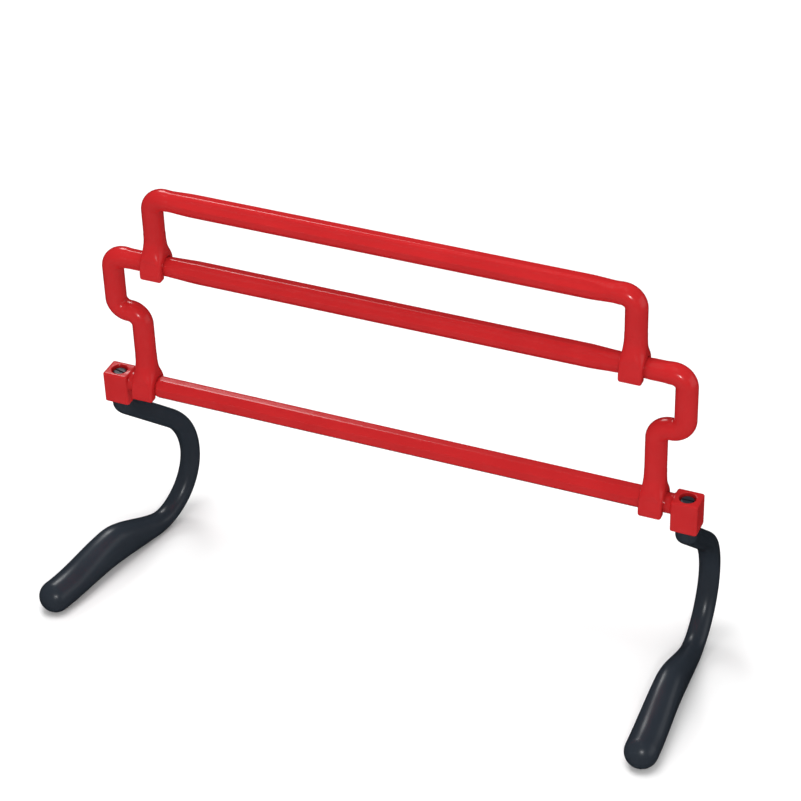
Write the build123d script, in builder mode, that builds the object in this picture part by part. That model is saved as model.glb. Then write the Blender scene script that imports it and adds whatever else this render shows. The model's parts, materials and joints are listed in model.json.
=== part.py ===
from build123d import *
import os
from math import cos, pi, radians, sin, sqrt

# Three-height agility hurdle: a crossbar with a leg socket at each end, two frames that
# clip to the bars and fold, and two legs that swivel in the sockets.
# Millimetres, +Z up, X along the bars, feet pointing to -Y. The origin is on the floor,
# under the crossbar's axis, midway between the two leg sockets.

# ---- Driving dimensions ----
crossbar_height = 158.6        # crossbar axis above the floor
middle_rise = 108.0            # middle bar axis above the crossbar axis
top_rise = 55.0                # top bar axis above the middle bar axis
socket_spacing = 437.0         # between the leg socket axes
clip_inset = 23.5              # middle frame's clips inward of the leg socket axes
upright_inset = 3.5            # middle frame's upper uprights inward of the socket axes
top_inset = 36.5               # top frame's uprights inward of the middle frame's

# Bars and uprights
tube_radius = 7.8              # round uprights, bends and bar ends
bar_swell = 0.4                # eight-sided stretch of a frame bar over the round tube, each side
inner_corner = 1.8             # inner radius of the frames' corners
jog_height = 62.5              # height of the middle frame's sideways step above the crossbar
jog_run = 0.2                  # least straight run between the two bends of that step
bar_end_gap = 1.5              # plain bar between the top frame's clip groove and the taper
bar_blend_length = 24.0        # taper from the plain bar to the eight-sided stretch
taper_end_sink = 0.3           # the taper's outer end under the round tube's surface
arris_radius = 1.2             # softened edges along the bars
channel_depth = 0.7            # shallow channel in the upper front facet
channel_width = 5.2

# Snap clips and the round journals that they turn on
journal_step = 0.3             # journal radius under the tube radius
clip_clearance = 0.05          # radial, clip bore over journal
clip_side_gap = 0.5            # each side of a clip, along the bar
clip_flange = 0.7              # clip wider than the upright, each side, along the bar
clip_front_wall = 5.5          # in front of the bore
clip_back_wall = 1.75          # behind the bore
clip_below = 7.4               # clip's lower end under the bar axis
clip_shoulder = 9.0            # top of the square block above the bar axis
hub_height = 24.0              # where the flare meets the round upright
hub_end_flat = 0.2             # half the flat left on the flare's upper end
clip_mouth = 12.0              # opening in the clip's underside
clip_corner = 2.4              # rounding of the block's upright edges

# Leg sockets
socket_length = 19.5           # along X
socket_depth = 18.0            # along Y
socket_above = 7.7             # socket's top above the crossbar axis
socket_below = 17.2            # socket's underside below the crossbar axis
socket_edge = 1.8              # rounding of the upright edges
socket_rim_edge = 1.1          # rounding round the top
pin_radius = 4.5
pin_clearance = 0.05           # radial, leg pin in the socket bore
counterbore_gap = 0.9          # radial, counterbore round the pin's head
counterbore_depth = 6.0
socket_rake = 2.0              # chamfer on the socket's lower back edge

# Leg: a snap pin, an arm sloping down and back, a rear bend, a heel and a thick foot
pin_lip = 0.5                  # head radius over the pin radius
pin_head_recess = 1.9          # head's top under the socket's rim
pin_head_gap = 0.3             # head's underside over the counterbore's floor
pin_head_edge = 1.2            # chamfer round the head's top
pin_slot_width = 1.5
pin_slot_depth = 17.0
leg_gap = 0.3                  # leg's shoulder under the socket
neck_drop = 2.5                # straight neck under the socket
elbow_radius = 8.0
arm_slope = 41.0               # degrees below level
arm_length = 60.0
rear_bend_radius = 53.0
leg_half_width = 7.8           # across the leg's plane
leg_half_depth = 7.4           # in the leg's plane
hump_half_width = 10.8
hump_half_depth = 16.2
toe_radius = 12.3
toe_step = 0.02                # the toe's ball sits this much inside the foot's end
foot_reach = 91.0              # toe centre in front of the pin axis
hump_reach = 31.5              # highest point of the foot in front of the pin axis
hump_start = -40.0             # where the leg starts to swell into the foot
arch_rise = 3.5                # hollow of the sole between heel and toe
arch_start = -28.0
arch_end = 94.0
heel_turn = 45.0               # turn of the heel before its section starts to grow
heel_steps = 4
foot_steps = 9
sole_cut = 0.5                 # depth of the flat worn into the rounded sole
left_toe_out = 14.5            # degrees that each foot points outward at rest
right_toe_out = 1.0

# ---- Worked-out sizes ----
middle_height = crossbar_height + middle_rise
top_height = middle_height + top_rise
clip_spacing = socket_spacing - 2 * clip_inset
middle_width = socket_spacing - 2 * upright_inset
top_width = middle_width - 2 * top_inset
corner_radius = tube_radius + inner_corner
journal_radius = tube_radius - journal_step
clip_width = 2 * (tube_radius + clip_flange)
clip_bore = journal_radius + clip_clearance
pin_head_radius = pin_radius + pin_lip
counterbore_radius = pin_head_radius + counterbore_gap
groove_half = clip_width / 2 + clip_side_gap
crossbar_half = clip_spacing / 2 - groove_half
socket_inner = (socket_spacing - socket_length) / 2
taper_outer = top_width / 2 - groove_half - bar_end_gap   # both frame bars taper together
taper_inner = taper_outer - bar_blend_length

os.makedirs("parts", exist_ok=True)


def save(solid, name):
    """Label one finished sub-part and write its STEP file."""
    solid.label = name
    export_step(solid, f"parts/{name}.step")


def across(x, z):
    """The plane square to the bars at x, its own origin at height z."""
    return Plane(origin=(x, 0, z), x_dir=(0, 1, 0), z_dir=(1, 0, 0))


def level(x, z):
    """A level plane, its own origin at x and height z."""
    return Plane(origin=(x, 0, z), x_dir=(1, 0, 0), z_dir=(0, 0, 1))


def octagon(across_flats, edge_radius):
    """An eight-sided section with flats up and to the front, its edges softened."""
    RegularPolygon(across_flats / 2, 8, major_radius=False, rotation=22.5)
    fillet(vertices(), edge_radius)


def clip_outline():
    """The clip's square block seen from above: the bore with its front and back walls."""
    with Locations((0, (clip_back_wall - clip_front_wall) / 2)):
        RectangleRounded(clip_width, 2 * clip_bore + clip_front_wall + clip_back_wall, clip_corner)


# ---- Crossbar, with its journals and the two leg sockets ----
with BuildPart() as crossbar:
    # Square sockets, softened on top and raked under the back
    socket_places = Locations((-socket_spacing / 2, 0), (socket_spacing / 2, 0))
    socket_base = Plane.XY.offset(crossbar_height - socket_below)
    with BuildSketch(socket_base):
        with socket_places:
            RectangleRounded(socket_length, socket_depth, socket_edge)
    extrude(amount=socket_below + socket_above)
    fillet(faces().filter_by(Plane.XY).group_by(Axis.Z)[-1].edges(), socket_rim_edge)
    with BuildSketch(Plane.YZ.offset(-socket_spacing)):
        with Locations((socket_depth / 2, crossbar_height - socket_below)):
            Rectangle(socket_rake * sqrt(2), socket_rake * sqrt(2), rotation=45)
    extrude(amount=2 * socket_spacing, mode=Mode.SUBTRACT)
    # Eight-sided bar between the round journals
    with BuildSketch(across(-crossbar_half, crossbar_height)):
        octagon(2 * tube_radius, arris_radius)
    extrude(amount=2 * crossbar_half)
    with BuildSketch(across(-socket_inner - socket_edge, crossbar_height)):
        Circle(journal_radius)
    extrude(amount=2 * (socket_inner + socket_edge))
    # Bore for the leg's pin, with a counterbore for its head
    with BuildSketch(socket_base):
        with socket_places:
            Circle(pin_radius + pin_clearance)
    extrude(amount=socket_below + socket_above, mode=Mode.SUBTRACT)
    with BuildSketch(Plane.XY.offset(crossbar_height + socket_above - counterbore_depth)):
        with socket_places:
            Circle(counterbore_radius)
    extrude(amount=counterbore_depth, mode=Mode.SUBTRACT)

save(crossbar.part, "crossbar")


def frame_route(base_z, bar_z, foot_half, bar_half):
    """Corner points of a frame's centreline, from the left clip round to the right one."""
    start_z = base_z + clip_shoulder
    side = [(foot_half, start_z)]
    if bar_half > foot_half:
        step_z = base_z + jog_height
        side += [(foot_half, step_z), (bar_half, step_z)]
    side += [(bar_half, bar_z)]
    left = [(-x, 0, z) for x, z in side]
    right = [(x, 0, z) for x, z in reversed(side)]
    return left + right


def build_frame(base_z, bar_z, foot_half, bar_half, carries_clips_at=None):
    """A folding frame: round tube, eight-sided bar with a channel, and two snap clips."""
    bend = corner_radius
    if bar_half > foot_half:
        bend = min(corner_radius, (bar_half - foot_half - jog_run) / 2)
    with BuildPart() as frame:
        # Round tube from clip to clip
        with BuildLine() as route:
            FilletPolyline(*frame_route(base_z, bar_z, foot_half, bar_half), radius=bend)
        with BuildSketch(Plane(origin=route.line @ 0, z_dir=route.line % 0)):
            Circle(tube_radius)
        sweep(path=route.line)
        # Eight-sided stretch with tapered ends
        with BuildSketch(across(-taper_inner, bar_z)):
            octagon(2 * (tube_radius + bar_swell), arris_radius)
        extrude(amount=2 * taper_inner)
        for side in (-1, 1):
            with BuildSketch(across(side * taper_inner, bar_z)):
                octagon(2 * (tube_radius + bar_swell), arris_radius)
            with BuildSketch(across(side * taper_outer, bar_z)):
                octagon(2 * (tube_radius - taper_end_sink), arris_radius)
            loft()
        # Shallow channel in the upper front facet
        facet = Plane(
            origin=(0, 0, bar_z), x_dir=(1, 0, 0), z_dir=(0, -1, 1)
        ).offset(tube_radius + bar_swell - channel_depth)
        with BuildSketch(facet):
            SlotOverall(2 * taper_inner, channel_width)
        extrude(amount=2 * channel_depth, mode=Mode.SUBTRACT)
        # Journals for the clips of the frame above
        if carries_clips_at:
            for side in (-1, 1):
                with BuildSketch(across(side * carries_clips_at - groove_half, bar_z)):
                    Circle(2 * journal_radius)
                    Circle(journal_radius, mode=Mode.SUBTRACT)
                extrude(amount=2 * groove_half, mode=Mode.SUBTRACT)
        # Clip hubs: a square block that flares into the upright
        for side in (-1, 1):
            x = side * foot_half
            with BuildSketch(level(x, base_z - clip_below)):
                clip_outline()
            extrude(amount=clip_below + clip_shoulder)
            with BuildSketch(level(x, base_z + clip_shoulder)):
                clip_outline()
            with BuildSketch(level(x, base_z + hub_height)):
                RectangleRounded(2 * tube_radius, 2 * tube_radius, tube_radius - hub_end_flat)
            loft()
            with BuildSketch(across(x - clip_width, base_z)):
                Circle(clip_bore)
                with Locations((0, -clip_below)):
                    Rectangle(clip_mouth, 2 * clip_below)
            extrude(amount=2 * clip_width, mode=Mode.SUBTRACT)
    return frame.part


# ---- Middle frame, on the crossbar ----
middle_frame = build_frame(
    crossbar_height, middle_height, clip_spacing / 2, middle_width / 2, top_width / 2
)
save(middle_frame, "middle_frame")

# ---- Top frame, on the middle frame's bar ----
top_frame = build_frame(middle_height, top_height, top_width / 2, top_width / 2)
save(top_frame, "top_frame")


def ease(t):
    """A smooth step from 0 to 1."""
    t = min(max(t, 0.0), 1.0)
    return t * t * (3 - 2 * t)


def foot_sections(heel_reach, heel_height):
    """Sections round the last of the heel and along the foot, in the leg's plane.

    Each is a reach, height and heading with two half sizes. They grow inward from the
    leg's even centreline, so the outside of the heel and the sole keep their line, and
    the sole is hollowed by the arch. The heel's centre is at heel_reach, heel_height.
    """
    heel_radius = heel_height - leg_half_depth + sole_cut
    line = []
    for step in range(heel_steps + 1):
        heading = heel_turn + 270 + (90 - heel_turn) * step / heel_steps
        reach = heel_reach + heel_radius * sin(radians(heading))
        line.append((reach, heel_height - heel_radius * cos(radians(heading)), heading))
    for step in range(1, foot_steps + 1):
        reach = heel_reach + (foot_reach - heel_reach) * step / foot_steps
        line.append((reach, leg_half_depth - sole_cut, 360.0))
    sections = []
    for reach, height, heading in line:
        up = ease((reach - hump_start) / (hump_reach - hump_start))
        down = ease((reach - hump_reach) / (foot_reach - hump_reach))
        width = leg_half_width + (hump_half_width - leg_half_width) * up
        width += (toe_radius - hump_half_width) * down
        inward = (hump_half_depth - leg_half_depth) * up + (toe_radius - hump_half_depth) * down
        rise = 0.0
        if arch_start < reach < arch_end:
            rise = arch_rise * sin(pi * (reach - arch_start) / (arch_end - arch_start)) ** 2
        reach -= inward * sin(radians(heading))
        height += inward * cos(radians(heading)) + rise
        sections.append((reach, height, heading, width, leg_half_depth + inward))
    return sections


def build_leg(side, toe_out):
    """A leg in its socket, turned outward by toe_out degrees; side is -1 left, 1 right."""
    angle = radians(toe_out)
    forward = Vector(side * sin(angle), -cos(angle), 0)
    upward = Vector(0, 0, 1)
    sideways = Vector(cos(angle), side * sin(angle), 0)
    socket_axis = Vector(side * socket_spacing / 2, 0, 0)
    leg_plane = Plane(origin=socket_axis, x_dir=forward, z_dir=forward.cross(upward))
    bend = 90 - arm_slope
    shoulder = crossbar_height - socket_below - leg_gap
    head_base = crossbar_height + socket_above - counterbore_depth + pin_head_gap
    head_top = crossbar_height + socket_above - pin_head_recess

    with BuildPart() as leg:
        # Neck, elbow, arm, rear bend and the first of the heel
        with BuildLine(leg_plane) as route:
            neck = Line((0, shoulder), (0, shoulder - neck_drop))
            elbow = JernArc((0, shoulder - neck_drop), (0, -1), elbow_radius, -bend)
            elbow_end = leg_plane.to_local_coords(elbow @ 1)
            downhill = (-cos(radians(arm_slope)), -sin(radians(arm_slope)))
            arm_end = (
                elbow_end.X + arm_length * downhill[0],
                elbow_end.Y + arm_length * downhill[1],
            )
            Line((elbow_end.X, elbow_end.Y), arm_end)
            rear = JernArc(arm_end, downhill, rear_bend_radius, bend)
            rear_end = leg_plane.to_local_coords(rear @ 1)
            heel_radius = rear_end.Y - leg_half_depth + sole_cut
            JernArc((rear_end.X, rear_end.Y), (0, -1), heel_radius, heel_turn)
        with BuildSketch(Plane(origin=neck @ 0, x_dir=sideways, z_dir=-upward)):
            Ellipse(leg_half_width, leg_half_depth)
        sweep(path=route.line)
        # The rest of the heel and the foot
        for reach, height, heading, width, depth in foot_sections(rear_end.X + heel_radius, rear_end.Y):
            centre = socket_axis + forward * reach + upward * height
            tangent = forward * cos(radians(heading)) + upward * sin(radians(heading))
            with BuildSketch(Plane(origin=centre, x_dir=sideways, z_dir=tangent)):
                with BuildLine():
                    for start in (0, 90, 180, 270):
                        EllipticalCenterArc((0, 0), width, depth, start, arc_size=90)
                make_face()
        loft()
        with Locations(centre):
            Sphere(toe_radius - toe_step)
        split(bisect_by=Plane.XY, keep=Keep.TOP)
        # Snap pin with a split, headed end
        with BuildSketch(Plane(origin=socket_axis + upward * (shoulder - neck_drop))):
            Circle(pin_radius)
        extrude(amount=head_top - shoulder + neck_drop)
        with BuildSketch(Plane(origin=socket_axis + upward * head_base)):
            Circle(pin_head_radius)
        extrude(amount=head_top - head_base)
        chamfer(faces().sort_by(Axis.Z)[-1].edges(), pin_head_edge)
        with BuildSketch(Plane(origin=socket_axis + upward * head_top, x_dir=sideways)):
            Rectangle(3 * pin_head_radius, pin_slot_width)
        extrude(amount=-pin_slot_depth, mode=Mode.SUBTRACT)
    return leg.part


# ---- Legs ----
save(build_leg(-1, left_toe_out), "left_leg")
save(build_leg(1, right_toe_out), "right_leg")
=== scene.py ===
"""Looks of the agility hurdle: moulded red bars and clips on two blue-black swivelling legs.

Lengths inside the shape functions are millimetres, because the moulded details are that
small; every mesh is scaled to metres as it is made. +Z is up and the feet point to -Y.
"""
import json
from math import cos, pi, radians, sin

import bmesh
import bpy
import numpy as np
from mathutils import Matrix, Vector


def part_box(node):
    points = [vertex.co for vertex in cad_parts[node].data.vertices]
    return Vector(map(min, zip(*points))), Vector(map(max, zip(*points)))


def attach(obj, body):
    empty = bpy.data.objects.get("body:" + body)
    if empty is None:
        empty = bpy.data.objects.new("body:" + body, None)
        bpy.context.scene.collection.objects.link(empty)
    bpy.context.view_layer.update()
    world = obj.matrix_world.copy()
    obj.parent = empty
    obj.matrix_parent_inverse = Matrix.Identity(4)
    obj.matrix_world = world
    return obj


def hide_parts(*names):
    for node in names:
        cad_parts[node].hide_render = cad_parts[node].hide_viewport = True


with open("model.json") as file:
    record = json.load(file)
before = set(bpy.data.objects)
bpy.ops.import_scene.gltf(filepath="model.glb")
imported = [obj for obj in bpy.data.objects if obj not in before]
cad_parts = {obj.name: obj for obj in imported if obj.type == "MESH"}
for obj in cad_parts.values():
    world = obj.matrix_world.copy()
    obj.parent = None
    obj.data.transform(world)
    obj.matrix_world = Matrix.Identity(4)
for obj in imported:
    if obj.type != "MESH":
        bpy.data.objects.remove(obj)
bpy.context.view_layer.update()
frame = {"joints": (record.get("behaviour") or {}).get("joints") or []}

MM = 0.001

# ---- Places, all from the frame ----
joints = {joint["name"]: joint for joint in frame["joints"]}
crossbar_z = joints["middle_frame_fold"]["pos_m"][2] / MM
middle_z = joints["top_frame_fold"]["pos_m"][2] / MM
socket_x = joints["right_leg_swivel"]["pos_m"][0] / MM
shoulder_z = joints["right_leg_swivel"]["pos_m"][2] / MM
crossbar_low, crossbar_high = (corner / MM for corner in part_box("crossbar"))
middle_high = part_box("middle_frame")[1] / MM
top_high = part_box("top_frame")[1] / MM

# ---- Moulded sizes, in millimetres ----
clip_inset = 23.5              # middle frame's clips inward of the leg sockets' axes
cad_clip_half = 8.5            # half the width of the CAD clips
cad_bar_half = 8.2             # bar axis to the flats of the CAD bars
tube_radius = 7.8
neck_radius = 7.35             # journals, and the bars' waists beside the clips
plain_reach = 7.7              # bar axis to the creases of the plain bar ends
inner_corner = 1.8             # inside of the frames' bends
corner_radius = tube_radius + inner_corner
bar_reach = 8.4                # bar axis to the ridges of the frame bars
hollow_depth = 0.3             # hollow in the upper front face of the bars
hollow_angle = 144.5           # degrees from the back, over the top
hollow_spread = 24.0
clip_bore = 7.6
clip_mouth_half = 6.2
clip_half_width = 8.4          # along the bar
clip_front = 11.4              # bar axis to the clip's front face, level with the axis
clip_jaw_front = 12.9          # bar axis to the front of the jaw at its lower end
clip_back = 9.3
clip_corner = 1.8
clip_below = 7.4
clip_lower_edge = 2.0          # rounding of the lower edges
clip_hollow_top = 12.0         # above the bar axis, past the top of the bore
bore_edge = 0.7                # rounding where the bore meets the outside
jaw_start = -4.0               # above the bar axis, where the jaw's front starts to draw in
jaw_run = 12.0
flare_start = 7.5              # above the bar axis, where the block starts to narrow
flare_end = 24.0
flare_overlap = 2.0            # of the flare and the round upright
flare_edge = 0.1
corner_start = 3.5             # the block's corners round off before its sides draw in
corner_run = 12.0
jog_rise = 62.5                # middle frame's sideways step above the crossbar
clip_half_gap = 8.8            # half the journal's length
waist_length = 11.0            # bars swell from their waists over this length
waist_clear = 1.0              # past the ridges, where the waist ends
waist_edge = 0.6
bar_band = 14.0                # half the height of the band that holds a bar
bar_overlap = 2.0              # of a bar and its bend
bar_end_edge = 3.0
bar_merge = 7.0                # the bar becomes its bend over this length
block_fillet = 0.6             # where a clip's block joins its upright
crease_soft = 0.35             # rounding of the creases on the plain bar ends
ridge_sharpening = 0.2         # how much sharper the ridges are
crossbar_soft = 0.24           # rounding of the crossbar's ridges
journal_step = 0.8             # length over which the crossbar becomes round
bar_in_socket_edge = 0.5
socket_edge = 1.8
socket_lower_edge = 1.2
rake_depth = 2.0               # slant under the back of a socket
rake_edge = 0.8
socket_fillet = 1.6            # where the bar joins a socket
socket_bore_edge = 0.8
pin_clearance = 0.1
taper_outer = 168.0            # the frame bars change from round to ridged between these
taper_inner = 144.0
pin_radius = 4.45
pin_head_radius = 5.0
pin_slot_half = 0.75
pin_slot_depth = 17.0
counterbore_radius = 5.9
counterbore_depth = 6.0
pin_head_recess = 1.9
pin_head_gap = 0.3
far = 1e3                      # a distance larger than the hurdle
inside = -9.0                  # a depth inside every bar

middle_foot = socket_x - clip_inset
middle_half = middle_high.x - tube_radius
top_half = top_high.x - cad_clip_half
top_z = top_high.z - cad_bar_half


# ---- Shape functions: distances in millimetres, negative inside ----
def ease(t):
    """A smooth step from 0 to 1."""
    t = np.clip(t, 0.0, 1.0)
    return t * t * (3 - 2 * t)


def union(a, b, blend):
    """Two shapes joined, with a fillet of about blend in the corner."""
    h = np.maximum(blend - np.abs(a - b), 0.0) / blend
    return np.minimum(a, b) - h * h * blend / 4


def common(a, b, blend):
    """What two shapes share, with the edge rounded by about blend."""
    return -union(-a, -b, blend)


def rounded_box(u, v, half_u, half_v, corner):
    """A rectangle with rounded corners."""
    qu = np.abs(u) - (half_u - corner)
    qv = np.abs(v) - (half_v - corner)
    outside = np.hypot(np.maximum(qu, 0.0), np.maximum(qv, 0.0))
    return outside + np.minimum(np.maximum(qu, qv), 0.0) - corner


def ridged(y, w, ridges, reach, soft):
    """A bar section whose ridges lie at the given angles, from +Y towards +Z.

    The faces between the ridges are flat, and soft is how far each ridge is rounded off.
    """
    faces = []
    for start, end in zip(ridges, ridges[1:] + [ridges[0] + 2 * pi]):
        middle, half = (start + end) / 2, (end - start) / 2
        faces.append(y * np.cos(middle) + w * np.sin(middle) - reach * np.cos(half))
    top = np.max(faces, axis=0)
    return top + soft * np.log(sum(np.exp((face - top) / soft) for face in faces))


def line_distance(px, pz, a, b):
    """Distance in the frame's plane from the straight run between a and b."""
    ax, az = a
    bx, bz = b
    length = (bx - ax) ** 2 + (bz - az) ** 2
    t = np.clip(((px - ax) * (bx - ax) + (pz - az) * (bz - az)) / length, 0.0, 1.0)
    return np.hypot(px - ax - t * (bx - ax), pz - az - t * (bz - az))


def bend_distance(px, pz, centre, sides):
    """Distance from a quarter-circle bend whose arc lies on the given sides of its centre."""
    dx, dz = px - centre[0], pz - centre[1]
    on_bend = (dx * sides[0] >= 0) & (dz * sides[1] >= 0)
    return np.where(on_bend, np.abs(np.hypot(dx, dz) - corner_radius), far)


def tube_distance(x, y, z, foot, half, base, top):
    """The round tube of a frame, up from its clip, over the sideways step and to the bar."""
    r = corner_radius
    runs = [line_distance(x, z, (0, top), (half - r, top))]
    bends = [bend_distance(x, z, (half - r, top - r), (1, 1))]
    if half > foot + 1:
        jog = base + jog_rise
        runs.append(line_distance(x, z, (half, top - r), (half, jog + r)))
        runs.append(line_distance(x, z, (half - r, jog), (foot + r, jog)))
        runs.append(line_distance(x, z, (foot, jog - r), (foot, base)))
        bends.append(bend_distance(x, z, (half - r, jog + r), (1, -1)))
        bends.append(bend_distance(x, z, (foot + r, jog - r), (-1, 1)))
    else:
        runs.append(line_distance(x, z, (half, top - r), (half, base)))
    return np.hypot(np.min(runs + bends, axis=0), y) - tube_radius


def frame_bar(x, y, w):
    """A frame bar: creased and nearly round at its ends, ridged with a hollow face between."""
    t = ease((taper_outer - x) / (taper_outer - taper_inner))
    plain = [10, 56, 101, 143, 165, 188, 232, 278, 324]
    full = [15, 60, 105, 121, 168, 197, 240, 285, 330]
    ridges = [np.radians(a + (b - a) * t) for a, b in zip(plain, full)]
    reach = plain_reach + (bar_reach - plain_reach) * t
    soft = crease_soft - ridge_sharpening * t
    section = ridged(y, w, ridges, reach, soft)
    angle = np.degrees(np.arctan2(w, y))
    hollow = np.cos(np.clip((angle - hollow_angle) / hollow_spread, -1, 1) * pi / 2) ** 2
    return section + hollow_depth * t * hollow


def clip_block(u, y, w):
    """A clip's block and the flare that joins it to the upright, before its bore is cut."""
    t = ease((w - flare_start) / (flare_end - flare_start))
    half_u = clip_half_width + (tube_radius - clip_half_width) * t
    front = clip_front + (tube_radius - clip_front) * t
    front = front + (clip_jaw_front - clip_front) * (1 - ease((w - jaw_start) / jaw_run))
    back = clip_back + (tube_radius - clip_back) * t
    corner = clip_corner + (tube_radius - clip_corner) * ease((w - corner_start) / corner_run)
    sides = rounded_box(u, y + (front - back) / 2, half_u, (front + back) / 2, corner)
    block = common(sides, -(w + clip_below), clip_lower_edge)
    return common(block, w - flare_end - flare_overlap, flare_edge)


def clip_hollow(y, w):
    """The clip's bore, open at the bottom."""
    return np.minimum(np.hypot(y, w) - clip_bore, np.maximum(np.abs(y) - clip_mouth_half, w))


def frame_shape(foot, half, base, top, carries=None):
    """The field of a whole folding frame. carries is where the next frame's clips sit."""
    def field(x, y, z):
        x = np.abs(x)
        tube = tube_distance(x, y, z, foot, half, base, top)
        bar_end = half - corner_radius
        in_band = np.abs(z - top) < bar_band
        bar = common(frame_bar(x, y, z - top), x - (bar_end + bar_overlap), bar_end_edge)
        along_bar = ease((bar_end - x) / bar_merge) * in_band
        body = tube + (bar - tube) * along_bar
        if carries:
            from_clip = np.abs(x - carries) - clip_half_gap
            swell = ease(from_clip / waist_length)
            limit = neck_radius + (bar_reach + waist_clear - neck_radius) * swell
            waist = np.hypot(y, z - top) - limit
            near = (from_clip < waist_length) & in_band
            body = common(body, np.where(near, waist, inside), waist_edge)
        body = union(body, clip_block(x - foot, y, z - base), block_fillet)
        above = z - base > clip_hollow_top
        return common(body, -clip_hollow(y, z - base) - far * above, bore_edge)
    return field


def crossbar_shape(x, y, z):
    """The field of the crossbar with its two leg sockets."""
    x = np.abs(x)
    w = z - crossbar_z
    ridges = [radians(22.5 + 45 * i) for i in range(8)]
    bar = ridged(y, w, ridges, tube_radius / cos(radians(22.5)), crossbar_soft)
    journal = np.hypot(y, w) - neck_radius
    journal_start = middle_foot - clip_half_gap - journal_step
    bar = bar + (journal - bar) * ease((x - journal_start) / journal_step)
    bar = common(bar, x - socket_x, bar_in_socket_edge)
    half_u = crossbar_high.x - socket_x
    block = rounded_box(x - socket_x, y, half_u, crossbar_high.y, socket_edge)
    block = common(block, z - crossbar_high.z, socket_edge)
    block = common(block, crossbar_low.z - z, socket_lower_edge)
    rake = (y - crossbar_high.y - (z - crossbar_low.z) + rake_depth) / np.sqrt(2.0)
    block = common(block, rake, rake_edge)
    body = union(bar, block, socket_fillet)
    reach = np.hypot(x - socket_x, y)
    floor = crossbar_high.z - counterbore_depth
    wide = np.maximum(reach - counterbore_radius, floor - z)
    bore = reach - (pin_radius + pin_clearance)
    return common(body, -np.minimum(bore, wide), socket_bore_edge)


# ---- From a field to a mesh ----
longest_move = 0.6             # of a point in one pass


def spaced(stops):
    """Grid lines from a list of (place, spacing up to the next place)."""
    lines = []
    for (start, step), (end, _) in zip(stops, stops[1:]):
        count = max(1, round((end - start) / step))
        lines += [start + (end - start) * i / count for i in range(count)]
    return np.array(lines + [stops[-1][0]])


def both_sides(stops):
    """The same grid lines mirrored to the other half."""
    half = spaced(stops)
    return np.concatenate([-half[:0:-1], half])


def gradient(field, points, step=0.02):
    """Slope of a field at some points."""
    slope = np.empty_like(points)
    for axis in range(3):
        shift = np.zeros(3)
        shift[axis] = step
        ahead, behind = points + shift, points - shift
        slope[:, axis] = (field(*ahead.T) - field(*behind.T)) / (2 * step)
    return slope


def settle(field, points, passes=3):
    """Moves points on to the surface."""
    for _ in range(passes):
        slope = gradient(field, points)
        size = np.maximum((slope ** 2).sum(1), 1e-6)
        move = field(*points.T) / size
        points = points - np.clip(slope * move[:, None], -longest_move, longest_move)
    return points


def surface(field, xs, ys, zs):
    """Closed quad mesh of a field's surface on a grid: one point for each cell that it crosses."""
    values = np.stack([
        field(np.full((len(ys), len(zs)), x), ys[:, None] + 0 * zs, zs + 0 * ys[:, None])
        for x in xs
    ])
    lines = (xs, ys, zs)
    shape = tuple(n - 1 for n in values.shape)
    total = np.zeros(shape + (3,))
    count = np.zeros(shape)
    crossings = []
    for axis in range(3):
        low = values.take(range(values.shape[axis] - 1), axis)
        high = values.take(range(1, values.shape[axis]), axis)
        crossed = (low < 0) != (high < 0)
        crossings.append((crossed, low < 0))
        share = np.where(crossed, low / np.where(crossed, low - high, 1.0), 0.0)
        place = np.empty(low.shape + (3,))
        for k in range(3):
            size = [1, 1, 1]
            size[k] = -1
            grid = lines[k][:-1] if k == axis else lines[k]
            place[..., k] = grid.reshape(size)
        steps = [1, 1, 1]
        steps[axis] = -1
        place[..., axis] += share * np.diff(lines[axis]).reshape(steps)
        others = [k for k in range(3) if k != axis]
        for first in (0, 1):
            for second in (0, 1):
                cut = [slice(None)] * 3
                cut[others[0]] = slice(first, shape[others[0]] + first)
                cut[others[1]] = slice(second, shape[others[1]] + second)
                hit = crossed[tuple(cut)]
                total += np.where(hit[..., None], place[tuple(cut)], 0.0)
                count += hit
    used = count > 0
    number = np.full(shape, -1)
    number[used] = np.arange(used.sum())
    points = total[used] / count[used][:, None]
    quads = []
    for axis in range(3):
        crossed, starts_inside = crossings[axis]
        i, j, k = np.nonzero(crossed)
        cell = np.stack([i, j, k], 1)
        others = [n for n in range(3) if n != axis]
        corners = []
        for first, second in ((0, 0), (1, 0), (1, 1), (0, 1)):
            at = cell.copy()
            at[:, others[0]] -= 1 - first
            at[:, others[1]] -= 1 - second
            corners.append(number[at[:, 0], at[:, 1], at[:, 2]])
        quad = np.stack(corners, 1)
        flip = starts_inside[i, j, k] ^ (axis == 1)
        quad[~flip] = quad[~flip][:, ::-1]
        quads.append(quad)
    return points, np.concatenate(quads)


def relax(field, points, quads, passes=4):
    """Evens out the mesh along the surface without leaving it."""
    edges = np.concatenate([quads[:, [a, (a + 1) % 4]] for a in range(4)])
    edges = np.unique(np.sort(edges, 1), axis=0)
    for _ in range(passes):
        total = np.zeros_like(points)
        count = np.zeros(len(points))
        for a, b in ((0, 1), (1, 0)):
            np.add.at(total, edges[:, a], points[edges[:, b]])
            np.add.at(count, edges[:, a], 1)
        aim = total / count[:, None]
        slope = gradient(field, points)
        slope /= np.maximum(np.linalg.norm(slope, axis=1), 1e-6)[:, None]
        move = 0.5 * (aim - points)
        move -= slope * (move * slope).sum(1)[:, None]
        points = settle(field, points + move, 1)
    return settle(field, points, 2)


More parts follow.
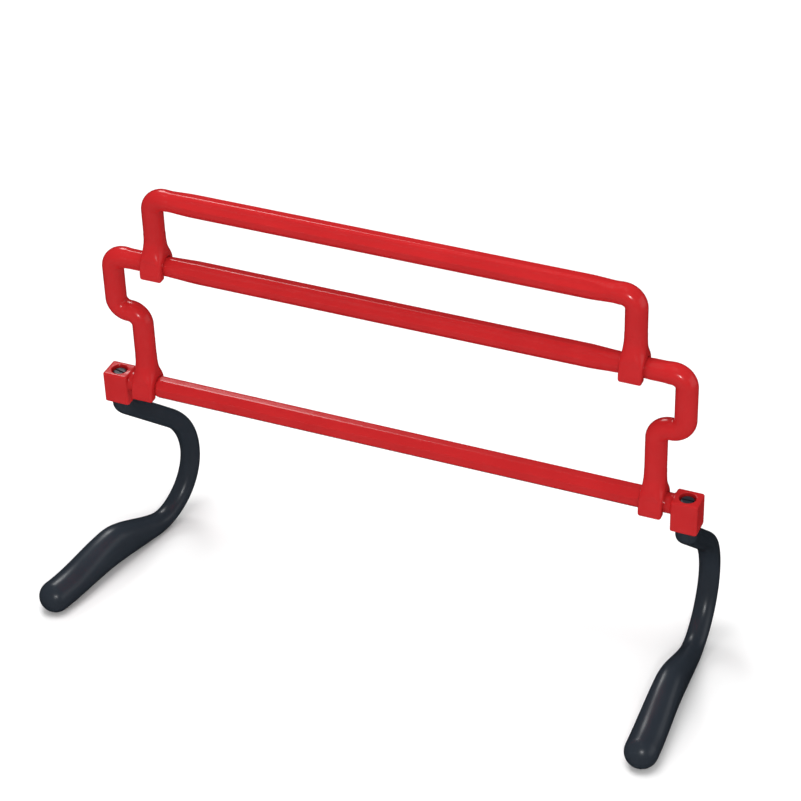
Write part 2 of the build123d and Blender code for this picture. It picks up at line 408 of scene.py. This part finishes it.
def moulded(name, field, xs, ys, zs):
    """A red moulding as a Blender mesh object with its field's own normals."""
    points, quads = surface(field, xs, ys, zs)
    points = relax(field, settle(field, points), quads)
    normals = gradient(field, points, 0.05)
    normals /= np.maximum(np.linalg.norm(normals, axis=1), 1e-6)[:, None]
    mesh = bpy.data.meshes.new(name)
    mesh.from_pydata((points * MM).tolist(), [], quads.tolist())
    mesh.polygons.foreach_set("use_smooth", [True] * len(mesh.polygons))
    mesh.normals_split_custom_set_from_vertices(normals.tolist())
    piece = bpy.data.objects.new(name, mesh)
    bpy.context.scene.collection.objects.link(piece)
    return piece


# ---- Legs ----
neck_drop = 2.5
elbow_radius = 8.0
arm_slope = 41.0
arm_length = 60.0
rear_bend_radius = 53.0
leg_half_width = 7.8
leg_half_depth = 7.4
hump_half_width = 10.8
hump_half_depth = 15.7
toe_radius = 12.28
foot_reach = 91.0
hump_reach = 31.5
hump_start = -40.0
slope_start = 20.0             # the hump's long slope towards the toe
slope_end = 84.0
arch_rise = 3.5
arch_start = -28.0
arch_end = 94.0
sole_cut = 0.5
squareness = 0.35              # how much squarer than round the arm and the hump are
square_turn = 30.0             # degrees of the elbow over which the arm becomes squarer
shoulder_edge = 1.2            # rounding of the leg's flat top
shoulder_shrink = 0.45
left_toe_out = 14.5            # degrees, at rest
right_toe_out = 1.0
pin_head_edge = 1.0
pin_head_chamfer = 0.3
ring_points = 64
ring_spacing = 2.4
toe_rings = 15
sharp_angle = 38               # degrees; edges turned further than this stay sharp


def leg_line():
    """Even centreline of a leg, from the shoulder to the toe's centre: reach, height, heading."""
    line = [(0.0, shoulder_z - d, 270.0) for d in (0.0, 0.9, 1.7, neck_drop)]
    reach, height, heading = 0.0, shoulder_z - neck_drop, 270.0
    heel = None
    for radius, turn, steps, run in (
        (elbow_radius, arm_slope - 90, 9, arm_length),
        (rear_bend_radius, 90 - arm_slope, 26, 0.0),
        (None, 90.0, 30, foot_reach),
    ):
        if radius is None:
            radius = height - leg_half_depth + sole_cut
            heel = reach + radius
            run = foot_reach - heel
        side = 1 if turn > 0 else -1
        centre_reach = reach - side * radius * sin(radians(heading))
        centre_height = height + side * radius * cos(radians(heading))
        start = heading
        for step in range(1, steps + 1):
            heading = start + turn * step / steps
            reach = centre_reach + side * radius * sin(radians(heading))
            height = centre_height - side * radius * cos(radians(heading))
            line.append((reach, height, heading))
        pieces = max(1, round(run / ring_spacing))
        for step in range(1, pieces + 1 if run else 1):
            line.append((
                reach + run * cos(radians(heading)) * step / pieces,
                height + run * sin(radians(heading)) * step / pieces,
                heading,
            ))
        reach, height, heading = line[-1]
    return line


def leg_rings():
    """Rings down a leg: centre reach and height, heading, two half sizes and squareness."""
    rings = []
    for reach, height, heading in leg_line():
        up = float(ease((reach - hump_start) / (hump_reach - hump_start)))
        down = float(ease((reach - slope_start) / (slope_end - slope_start)))
        if heading <= 270.0:
            up = down = 0.0
        width = leg_half_width + (hump_half_width - leg_half_width) * up
        width += (toe_radius - hump_half_width) * down
        inward = (hump_half_depth - leg_half_depth) * up
        inward += (toe_radius - hump_half_depth) * down
        rise = 0.0
        if heading > 270.0 and arch_start < reach < arch_end:
            rise = arch_rise * sin(pi * (reach - arch_start) / (arch_end - arch_start)) ** 2
        square = 2.0 + squareness * up * (1 - down)
        if heading < 270.0:
            square = 2.0 + squareness * min(1.0, (270.0 - heading) / square_turn)
        rings.append((
            reach - inward * sin(radians(heading)),
            height + inward * cos(radians(heading)) + rise,
            heading,
            width,
            leg_half_depth + inward,
            square,
        ))
    return rings


def leg_mesh(name, side, toe_out):
    """A leg with its snap pin as one closed lofted mesh."""
    angle = radians(toe_out)
    forward = Vector((side * sin(angle), -cos(angle), 0))
    sideways = Vector((cos(angle), side * sin(angle), 0))
    axis = Vector((side * socket_x, 0, 0))
    up = Vector((0, 0, 1))
    bm = bmesh.new()

    def ring(centre, normal_in_plane, half_width, half_depth, square=2.0):
        places = []
        for i in range(ring_points):
            a = 2 * pi * i / ring_points
            c, s = cos(a), sin(a)
            u = abs(c) ** (2 / square) * (1 if c >= 0 else -1) * half_width
            v = abs(s) ** (2 / square) * (1 if s >= 0 else -1) * half_depth
            place = centre + sideways * u + normal_in_plane * v
            place.z = max(place.z, 0.0)
            places.append(bm.verts.new(place * MM))
        return places

    rings = []
    head_top = crossbar_high.z - pin_head_recess
    head_base = crossbar_high.z - counterbore_depth + pin_head_gap
    round_start = pin_head_radius - pin_head_edge
    profile = [(head_top, 2.0), (head_top, 3.0), (head_top, round_start)]
    for step in range(1, 5):
        turn = radians(90 * step / 4)
        profile.append((head_top - pin_head_edge + pin_head_edge * cos(turn),
                        round_start + pin_head_edge * sin(turn)))
    profile += [
        (head_base + pin_head_chamfer, pin_head_radius),
        (head_base, pin_head_radius - pin_head_chamfer),
        (head_base, pin_radius),
    ]
    for height, radius in profile:
        rings.append(ring(axis + up * height, forward, radius, radius))
    for step in range(1, 9):
        height = head_base + (shoulder_z - head_base) * step / 8
        rings.append(ring(axis + up * height, forward, pin_radius, pin_radius))
    rings.append(ring(axis + up * shoulder_z, forward,
                      leg_half_width - shoulder_edge, leg_half_depth - shoulder_edge))
    for reach, height, heading, width, depth, square in leg_rings():
        turn = radians(heading)
        across = forward * -sin(turn) + up * cos(turn)
        shrink = 0.0
        if height > shoulder_z - shoulder_edge and reach > -1:
            shrink = shoulder_shrink * (1 - (shoulder_z - height) / shoulder_edge)
        rings.append(ring(axis + forward * reach + up * height, across,
                          width - shrink, depth - shrink, square))
    toe_height = height
    for step in range(1, toe_rings):
        turn = radians(90 * step / toe_rings)
        rings.append(ring(axis + forward * (reach + toe_radius * sin(turn)) + up * toe_height,
                          across, toe_radius * cos(turn), toe_radius * cos(turn)))
    for first, second in zip(rings, rings[1:]):
        for i in range(ring_points):
            j = (i + 1) % ring_points
            bm.faces.new((first[i], first[j], second[j], second[i]))
    bm.faces.new(rings[0][::-1])
    tip = bm.verts.new((axis + forward * (reach + toe_radius) + up * toe_height) * MM)
    for i in range(ring_points):
        bm.faces.new((rings[-1][i], rings[-1][(i + 1) % ring_points], tip))
    bmesh.ops.recalc_face_normals(bm, faces=bm.faces)
    mesh = bpy.data.meshes.new(name)
    bm.to_mesh(mesh)
    bm.free()
    piece = bpy.data.objects.new(name, mesh)
    bpy.context.scene.collection.objects.link(piece)
    cut_slot(piece, axis + up * head_top, sideways)
    return piece


def cut_slot(piece, top, along):
    """Cuts the snap pin's slot, so that its two prongs can spring together."""
    bm = bmesh.new()
    bmesh.ops.create_cube(bm, size=1.0)
    turn = Matrix.Rotation(np.arctan2(along.y, along.x), 4, "Z")
    size = Matrix.Diagonal((6 * pin_radius, 2 * pin_slot_half, 2 * pin_slot_depth, 1))
    bmesh.ops.transform(bm, matrix=Matrix.Translation(top * MM) @ turn @ size @ Matrix.Scale(MM, 4),
                        verts=bm.verts)
    mesh = bpy.data.meshes.new("slot_cutter")
    bm.to_mesh(mesh)
    bm.free()
    cutter = bpy.data.objects.new("slot_cutter", mesh)
    bpy.context.scene.collection.objects.link(cutter)
    cut = piece.modifiers.new("slot", "BOOLEAN")
    cut.operation, cut.object, cut.solver = "DIFFERENCE", cutter, "EXACT"
    bpy.context.view_layer.update()
    shaped = bpy.data.meshes.new_from_object(
        piece.evaluated_get(bpy.context.evaluated_depsgraph_get()))
    piece.modifiers.clear()
    piece.data = shaped
    bpy.data.objects.remove(cutter)
    for polygon in shaped.polygons:
        polygon.use_smooth = True
    shaped.set_sharp_from_angle(angle=radians(sharp_angle))


# ---- Materials ----
mottle_scale = 38              # noise scales, in cycles to the metre
sheen_scale = 160
swell_scale = 95
grain_scale = 1700
swell_height = 0.0002          # metres
grain_height = 0.00005


def plastic(name, dark, light, roughness, grain):
    """Moulded plastic: slightly mottled colour, fine moulded grain and gentle unevenness."""
    material = bpy.data.materials.new(name)
    material.use_nodes = True
    nodes, links = material.node_tree.nodes, material.node_tree.links
    shader = nodes["Principled BSDF"]
    place = nodes.new("ShaderNodeTexCoord")

    def noise(scale, detail):
        texture = nodes.new("ShaderNodeTexNoise")
        texture.inputs["Scale"].default_value = scale
        texture.inputs["Detail"].default_value = detail
        links.new(place.outputs["Object"], texture.inputs["Vector"])
        return texture.outputs["Fac"]

    tone = nodes.new("ShaderNodeMix")
    tone.data_type = "RGBA"
    tone.inputs["A"].default_value = (*dark, 1)
    tone.inputs["B"].default_value = (*light, 1)
    links.new(noise(mottle_scale, 3), tone.inputs["Factor"])
    links.new(tone.outputs["Result"], shader.inputs["Base Color"])

    sheen = nodes.new("ShaderNodeMapRange")
    sheen.inputs["To Min"].default_value = roughness - 0.05
    sheen.inputs["To Max"].default_value = roughness + 0.07
    links.new(noise(sheen_scale, 4), sheen.inputs["Value"])
    links.new(sheen.outputs["Result"], shader.inputs["Roughness"])

    swell = nodes.new("ShaderNodeBump")
    swell.inputs["Distance"].default_value = swell_height
    swell.inputs["Strength"].default_value = 0.25
    links.new(noise(swell_scale, 1), swell.inputs["Height"])
    fine = nodes.new("ShaderNodeBump")
    fine.inputs["Distance"].default_value = grain_height
    fine.inputs["Strength"].default_value = grain
    links.new(noise(grain_scale, 2), fine.inputs["Height"])
    links.new(swell.outputs["Normal"], fine.inputs["Normal"])
    links.new(fine.outputs["Normal"], shader.inputs["Normal"])
    shader.inputs["Specular IOR Level"].default_value = 0.5
    return material


red = plastic("red_abs", (0.43, 0.012, 0.014), (0.52, 0.017, 0.019), 0.20, 0.15)
black = plastic("black_nylon", (0.016, 0.021, 0.029), (0.024, 0.031, 0.041), 0.30, 0.25)


# ---- Pieces ----
# Each grid is coarse along the plain bars and fine where there are clips, bends and sockets.
coarse = 7.0
medium = 1.6
fine = 0.6
margin = 1.5                   # around the moulding
ys = spaced([(-clip_jaw_front - margin, fine), (clip_back + margin, fine)])

crossbar = moulded(
    "crossbar_moulding",
    crossbar_shape,
    both_sides([(0, coarse), (middle_foot - 16, 1.2), (middle_foot - 8, 0.8),
                (middle_foot + 7, 0.5), (crossbar_high.x + margin, 0.5)]),
    ys,
    spaced([(crossbar_low.z - margin, 0.5), (crossbar_high.z + margin, 0.5)]),
)
middle_frame = moulded(
    "middle_frame_moulding",
    frame_shape(middle_foot, middle_half, crossbar_z, middle_z, top_half),
    both_sides([(0, coarse), (taper_inner - 10, medium), (top_half - 12, fine),
                (middle_half + 9.5, fine)]),
    ys,
    spaced([(crossbar_z - clip_below - margin, fine), (crossbar_z + 26, 2.0),
            (crossbar_z + jog_rise - 20, 0.8), (crossbar_z + jog_rise + 20, 2.0),
            (middle_z - 20, fine), (middle_z + 10, fine)]),
)
top_frame = moulded(
    "top_frame_moulding",
    frame_shape(top_half, top_half, middle_z, top_z),
    both_sides([(0, coarse), (taper_inner - 10, medium), (taper_outer - 3, fine),
                (top_half + 10.5, fine)]),
    ys,
    spaced([(middle_z - clip_below - margin, fine), (middle_z + 26, 1.2), (top_z - 20, fine),
            (top_z + 10, fine)]),
)
left_leg = leg_mesh("left_leg_moulding", -1, left_toe_out)
right_leg = leg_mesh("right_leg_moulding", 1, right_toe_out)

for piece, node, material, slot in (
    (crossbar, "crossbar", red, "red_plastic"),
    (middle_frame, "middle_frame", red, "red_plastic"),
    (top_frame, "top_frame", red, "red_plastic"),
    (left_leg, "left_leg", black, "black_plastic"),
    (right_leg, "right_leg", black, "black_plastic"),
):
    piece.data.materials.append(material)
    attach(piece, node)
    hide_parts(node)


# ---- Floor, light and camera ----
def floor():
    """A plain pale floor."""
    bpy.ops.mesh.primitive_plane_add(size=8, location=(0, 0, 0))
    ground = bpy.context.object
    ground.name = "floor"
    material = bpy.data.materials.new("floor_paper")
    material.use_nodes = True
    shader = material.node_tree.nodes["Principled BSDF"]
    shader.inputs["Base Color"].default_value = (0.92, 0.92, 0.92, 1)
    shader.inputs["Roughness"].default_value = 0.9
    shader.inputs["Specular IOR Level"].default_value = 0.1
    ground.data.materials.append(material)
    ground.visible_glossy = False


def softbox(name, place, size, power, gloss=True, aim=(0, 0, 0.16)):
    """A soft rectangular studio light; without gloss it shows in no reflection."""
    light = bpy.data.lights.new(name, "AREA")
    light.shape = "RECTANGLE"
    light.size, light.size_y = size
    light.energy = power
    lamp = bpy.data.objects.new(name, light)
    lamp.location = place
    lamp.visible_glossy = gloss
    lamp.rotation_euler = (Vector(aim) - Vector(place)).to_track_quat("-Z", "Y").to_euler()
    bpy.context.scene.collection.objects.link(lamp)


floor()
softbox("overhead", (-0.1, -0.2, 2.2), (1.3, 1.0), 25, gloss=False)
softbox("front_left", (-0.8, -1.85, 0.8), (0.5, 0.5), 4, gloss=False)
softbox("lamp", (0.76, -1.56, 1.16), (0.10, 0.10), 8)
softbox("right_low", (1.9, 0.3, 0.5), (2.2, 1.1), 4)
softbox("back_left", (-0.93, 1.1, 1.55), (0.55, 0.5), 7)
world = bpy.data.worlds.new("studio")
world.use_nodes = True
world.node_tree.nodes["Background"].inputs["Color"].default_value = (1, 1, 1, 1)
world.node_tree.nodes["Background"].inputs["Strength"].default_value = 0.62
world.cycles_visibility.glossy = False
bpy.context.scene.world = world
bpy.context.scene.view_settings.view_transform = "Standard"

camera_right = Vector((0.92064, 0.38940, -0.02790))
camera_up = Vector((-0.20501, 0.54304, 0.81429))
camera_back = camera_right.cross(camera_up)
camera = bpy.data.objects.new("camera", bpy.data.cameras.new("camera"))
bpy.context.scene.collection.objects.link(camera)
camera.data.sensor_width = 36
camera.data.lens = 122.79
camera.matrix_world = Matrix.Translation((0.6435, -1.4262, 1.3060)) @ Matrix(
    (camera_right, camera_up, camera_back)).transposed().to_4x4()
bpy.context.scene.camera = camera
